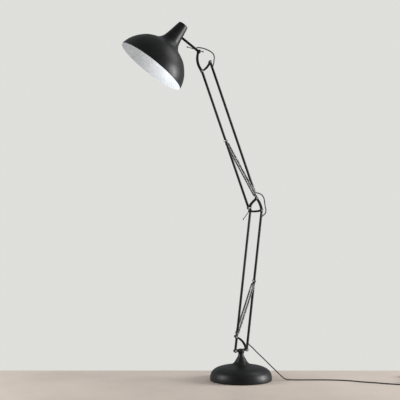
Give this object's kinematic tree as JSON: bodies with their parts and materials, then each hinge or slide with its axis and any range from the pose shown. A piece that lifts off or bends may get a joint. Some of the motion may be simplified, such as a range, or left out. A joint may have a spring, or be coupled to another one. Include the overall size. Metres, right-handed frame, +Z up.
{
  "type": "adjustable arm floor lamp",
  "caption": "Floor lamp with a weighted round base, two sprung parallelogram arms, curved brackets and a bell shade on a tilting rod.",
  "frame": {"origin": "centre of the underside of the base, on the floor", "axes": "+Z up; the arms lie in the XZ plane; the shade is towards -X; the clamp bar at the shade is on the -Y side"},
  "size_m": [1.4443, 0.4604, 1.723],
  "materials": {
    "black_paint": "satin black powder coat",
    "shade_paint": "spun aluminium, painted satin black outside and satin white inside",
    "zinc_steel": "zinc plated",
    "spring_steel": "drawn spring wire",
    "cast_iron": "raw casting",
    "rubber_pad": "matt",
    "cord_sleeve": "matt round sleeve",
    "black_plastic": "fine moulded texture",
    "opal_glass": "opal"
  },
  "bodies": {
    "root": {"base_shell": "black_paint", "base_pad": "rubber_pad", "base_weight": "cast_iron", "base_post": "zinc_steel", "post_nut": "zinc_steel", "swivel_washer": "black_plastic"},
    "swivel": {"swivel_hub": "black_paint", "foot_plate_near": "black_paint", "foot_plate_far": "black_paint", "foot_front_bolt": "zinc_steel", "foot_rear_bolt": "zinc_steel", "foot_spring_stud_near": "zinc_steel", "foot_spring_stud_far": "zinc_steel", "mains_cord": "cord_sleeve", "foot_switch_body": "black_plastic", "switch_cord": "cord_sleeve", "cord_coil": "cord_sleeve", "plug_cord": "cord_sleeve", "mains_plug": "black_plastic"},
    "lower_rear": {"lower_rear_tube": "black_paint", "lower_arm_cord": "cord_sleeve", "lower_spring_collar": "zinc_steel"},
    "lower_front": {"lower_front_tube": "black_paint"},
    "elbow": {"elbow_plate_near": "black_paint", "elbow_plate_far": "black_paint", "elbow_front_bolt": "zinc_steel", "elbow_rear_bolt": "zinc_steel", "elbow_spring_bolt": "zinc_steel", "elbow_loop_upper": "cord_sleeve", "elbow_loop_lower": "cord_sleeve"},
    "elbow_screw": {"elbow_clamp_screw": "black_paint"},
    "elbow_bar": {"elbow_clamp_bar": "black_paint"},
    "upper_rear": {"upper_rear_tube": "black_paint", "upper_arm_cord": "cord_sleeve"},
    "upper_front": {"upper_front_tube": "black_paint", "upper_spring_collar": "zinc_steel"},
    "head_bracket": {"head_plate_near": "black_paint", "head_plate_far": "black_paint", "head_front_bolt": "zinc_steel", "head_rear_bolt": "zinc_steel", "head_loop_arm": "cord_sleeve", "head_loop_rod": "cord_sleeve"},
    "head_screw": {"head_clamp_screw": "black_paint"},
    "head_bar": {"head_clamp_bar": "black_paint"},
    "head": {"head_rod": "black_paint", "rod_nut": "zinc_steel", "head_cord": "cord_sleeve", "shade": "shade_paint", "lampholder": "black_plastic", "lamp_bulb": "opal_glass"},
    "lower_spring_foot": {"lower_spring_near": "spring_steel", "lower_spring_far": "spring_steel"},
    "lower_spring_head": {"lower_spring_hook_near": "spring_steel", "lower_spring_hook_far": "spring_steel"},
    "upper_spring_foot": {"upper_spring_near": "spring_steel", "upper_spring_far": "spring_steel"},
    "upper_spring_head": {"upper_spring_hook_near": "spring_steel", "upper_spring_hook_far": "spring_steel"},
    "switch_button": {"foot_switch_button": "black_plastic"}
  },
  "joints": [
    {"name": "base_swivel", "type": "hinge", "parent": "root", "child": "swivel", "pos_m": [0, 0, 0.142], "axis": [0, 0, 1], "range_deg": [-90, 90]},
    {"name": "lower_arm_lean", "type": "hinge", "parent": "swivel", "child": "lower_rear", "pos_m": [0.0285, 0, 0.147], "axis": [0, 1, 0], "range_deg": [-15, 25], "deforming": ["mains_cord"]},
    {"name": "lower_front_turn", "type": "hinge", "parent": "swivel", "child": "lower_front", "pos_m": [-0.0285, 0, 0.142], "axis": [0, 1, 0], "range_deg": [-15, 25]},
    {"name": "elbow_level", "type": "hinge", "parent": "lower_rear", "child": "elbow", "pos_m": [0.10312, 0, 0.82289], "axis": [0, 1, 0], "range_deg": [-25, 15], "deforming": ["elbow_loop_lower"]},
    {"name": "upper_arm_lean", "type": "hinge", "parent": "elbow", "child": "upper_rear", "pos_m": [0.07812, 0, 0.87989], "axis": [0, 1, 0], "range_deg": [-30, 20], "deforming": ["elbow_loop_upper"]},
    {"name": "upper_front_turn", "type": "hinge", "parent": "elbow", "child": "upper_front", "pos_m": [0.03762, 0, 0.83319], "axis": [0, 1, 0], "range_deg": [-30, 20]},
    {"name": "head_level", "type": "hinge", "parent": "upper_rear", "child": "head_bracket", "pos_m": [-0.15225, 0, 1.53772], "axis": [0, 1, 0], "range_deg": [-20, 30], "deforming": ["head_loop_arm"]},
    {"name": "head_tilt", "type": "hinge", "parent": "head_bracket", "child": "head", "pos_m": [-0.20975, 0, 1.58572], "axis": [0, 1, 0], "range_deg": [-25, 50], "deforming": ["head_loop_rod"]},
    {"name": "elbow_screw_turn", "type": "hinge", "parent": "elbow", "child": "elbow_screw", "pos_m": [0.04612, 0, 0.81789], "axis": [0, 1, 0], "range_deg": [0, 270]},
    {"name": "elbow_bar_slide", "type": "slide", "parent": "elbow_screw", "child": "elbow_bar", "axis": [-0.5878, 0, -0.809], "range_m": [-0.038, 0]},
    {"name": "head_screw_turn", "type": "hinge", "parent": "head_bracket", "child": "head_screw", "pos_m": [-0.20975, 0, 1.58572], "axis": [0, 1, 0], "range_deg": [0, 270]},
    {"name": "head_bar_slide", "type": "slide", "parent": "head_screw", "child": "head_bar", "axis": [-0.9659, 0, 0.2588], "range_m": [-0.051, 0.009]},
    {"name": "lower_spring_turn", "type": "hinge", "parent": "swivel", "child": "lower_spring_foot", "pos_m": [-0.025, 0, 0.211], "axis": [0, 1, 0], "range_deg": [-20, 30]},
    {"name": "lower_spring_stretch", "type": "slide", "parent": "lower_spring_foot", "child": "lower_spring_head", "axis": [0.3181, 0, 0.948], "range_m": [-0.025, 0.04], "deforming": ["lower_spring_near", "lower_spring_far", "lower_spring_hook_near", "lower_spring_hook_far"]},
    {"name": "upper_spring_turn", "type": "hinge", "parent": "elbow", "child": "upper_spring_foot", "pos_m": [0.07812, 0, 0.87989], "axis": [0, 1, 0], "range_deg": [-35, 25]},
    {"name": "upper_spring_stretch", "type": "slide", "parent": "upper_spring_foot", "child": "upper_spring_head", "axis": [-0.4851, 0, 0.8745], "range_m": [-0.03, 0.04], "deforming": ["upper_spring_near", "upper_spring_far", "upper_spring_hook_near", "upper_spring_hook_far"]},
    {"name": "foot_switch_press", "type": "slide", "parent": "swivel", "child": "switch_button", "axis": [0, 0, -1], "range_m": [0, 0.003], "stiffness_N_per_m": 400}
  ],
  "couplings": [
    {"joint": "lower_front_turn", "follows": "lower_arm_lean", "ratio": 1},
    {"joint": "elbow_level", "follows": "lower_arm_lean", "ratio": -1},
    {"joint": "upper_front_turn", "follows": "upper_arm_lean", "ratio": 1},
    {"joint": "head_level", "follows": "upper_arm_lean", "ratio": -1},
    {"joint": "lower_spring_turn", "follows": "lower_arm_lean", "ratio": 1.124},
    {"joint": "lower_spring_stretch", "follows": "lower_arm_lean", "m_per_rad": 0.074},
    {"joint": "upper_spring_turn", "follows": "upper_arm_lean", "ratio": 1.048},
    {"joint": "upper_spring_stretch", "follows": "upper_arm_lean", "m_per_rad": -0.059}
  ]
}
